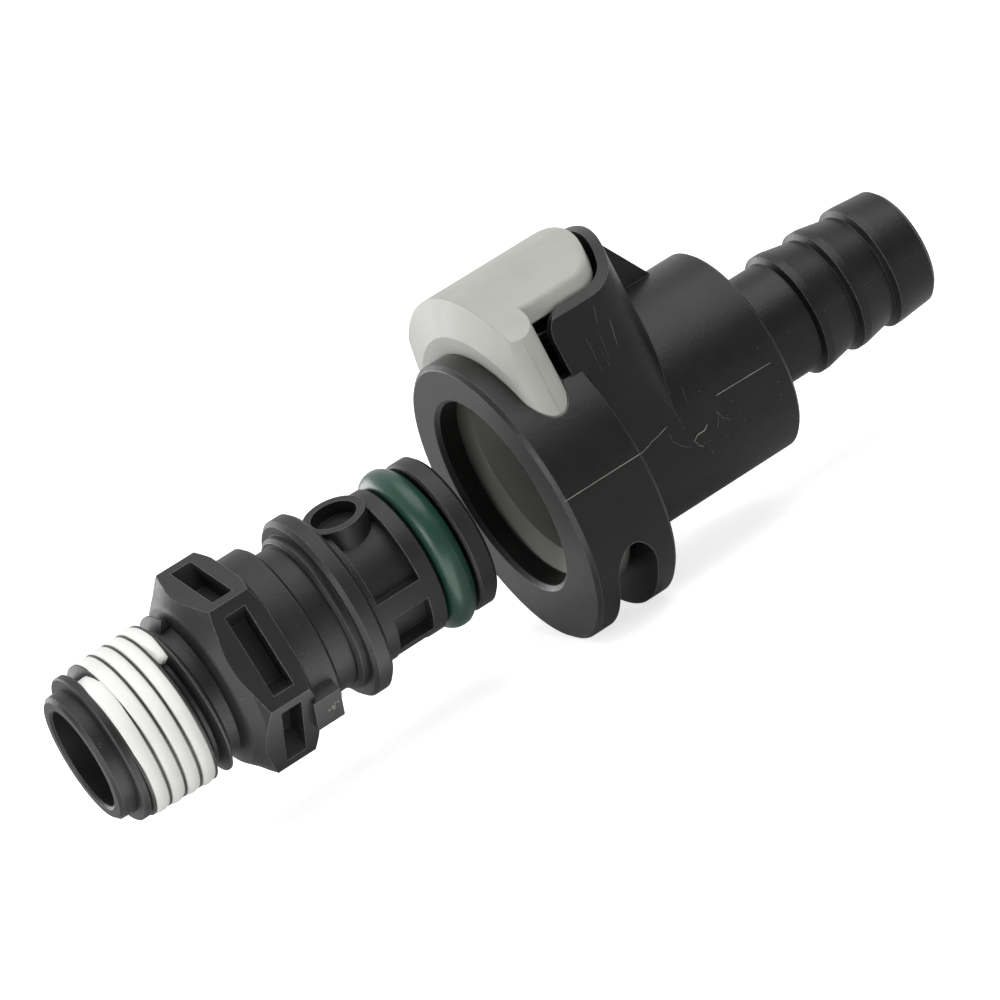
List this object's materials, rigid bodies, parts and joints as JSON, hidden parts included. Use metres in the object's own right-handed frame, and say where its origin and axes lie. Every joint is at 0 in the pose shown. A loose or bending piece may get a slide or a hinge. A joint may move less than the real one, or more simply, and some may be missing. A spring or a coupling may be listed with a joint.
{
  "type": "plastic quick disconnect coupling",
  "caption": "Parted thumb-latch tubing coupling: hose barb socket with sprung latch, and a pipe thread plug with hexagon, cored nose and O-ring.",
  "frame": {"origin": "centre of the socket's rear shoulder, where the hose barb starts", "axes": "+X along the common axis towards the hose end, +Z towards the thumb latch"},
  "size_m": [0.0819, 0.0256, 0.0302],
  "materials": {
    "black_plastic": "fine moulded black plastic with a dull shine",
    "grey_plastic": "warm light grey moulded plastic, satin",
    "spring_steel": "drawn spring wire",
    "green_rubber": "dark green rubber with a soft shine",
    "white_sealant": "dried white paste"
  },
  "bodies": {
    "socket": {"coupling_body": "black_plastic", "latch_spring": "spring_steel"},
    "latch": {"thumb_latch": "grey_plastic"},
    "plug": {"plug_body": "black_plastic", "plug_o_ring": "green_rubber", "thread_sealant": "white_sealant"}
  },
  "joints": [
    {"name": "latch_press", "type": "slide", "parent": "socket", "child": "latch", "axis": [0, 0, -1], "range_m": [0, 0.0012], "stiffness_N_per_m": 1000, "springref_m": -0.002, "deforming": ["latch_spring"]},
    {"name": "plug_slide", "type": "slide", "parent": "socket", "child": "plug", "axis": [1, 0, 0], "range_m": [0, 0.0184]}
  ]
}
